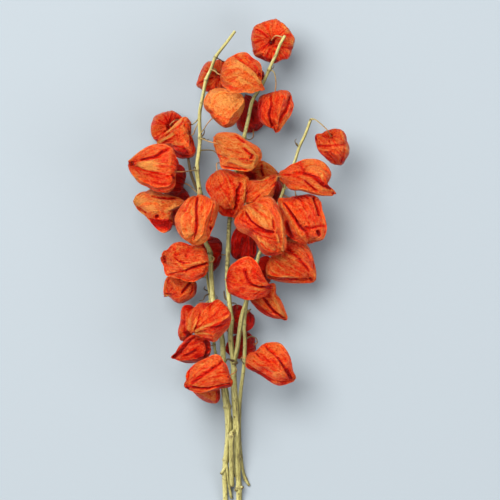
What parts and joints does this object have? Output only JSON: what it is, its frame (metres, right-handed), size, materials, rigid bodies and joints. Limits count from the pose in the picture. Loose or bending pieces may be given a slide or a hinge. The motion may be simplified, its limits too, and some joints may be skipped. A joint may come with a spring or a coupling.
{
  "type": "dried physalis lantern bunch",
  "caption": "Cut bunch of dried physalis stems lying down, with papery orange-red ribbed lanterns on thin stalks.",
  "frame": {"origin": "middle of the underside of the bunch's box, on the surface that it lies on", "axes": "+Y along the stems from the cut ends to the tips, +X to the right seen from above with +Y up, +Z up from the surface"},
  "size_m": [0.2223, 0.4929, 0.1208],
  "materials": {
    "husk_orange": "papery, matt to satin, orange with golden veins",
    "husk_red": "papery, matt to satin, orange-red",
    "husk_deep": "papery, matt, deep red",
    "stem": "dry straw, matt"
  },
  "bodies": {
    "root": {"lantern_01": "husk_red", "lantern_02": "husk_orange", "lantern_03": "husk_red", "lantern_04": "husk_orange", "lantern_05": "husk_deep", "lantern_06": "husk_red", "lantern_07": "husk_red", "lantern_08": "husk_orange", "lantern_09": "husk_orange", "lantern_10": "husk_deep", "lantern_11": "husk_orange", "lantern_12": "husk_deep", "lantern_13": "husk_orange", "lantern_14": "husk_orange", "lantern_15": "husk_red", "lantern_16": "husk_red", "lantern_17": "husk_red", "lantern_18": "husk_red", "lantern_19": "husk_red", "lantern_20": "husk_orange", "lantern_21": "husk_red", "lantern_22": "husk_orange", "lantern_23": "husk_red", "lantern_24": "husk_orange", "lantern_25": "husk_red", "lantern_26": "husk_deep", "lantern_27": "husk_orange", "lantern_28": "husk_deep", "lantern_29": "husk_red", "lantern_30": "husk_orange", "lantern_31": "husk_deep", "lantern_32": "husk_orange", "lantern_33": "husk_deep", "lantern_34": "husk_deep", "lantern_35": "husk_red", "lantern_36": "husk_deep", "lantern_37": "husk_deep", "lantern_38": "husk_deep", "lantern_39": "husk_deep", "lantern_40": "husk_deep", "lantern_41": "husk_deep", "lantern_42": "husk_deep", "stem_left": "stem", "stem_main": "stem", "stem_right": "stem", "stem_slim": "stem"}
  },
  "joints": []
}
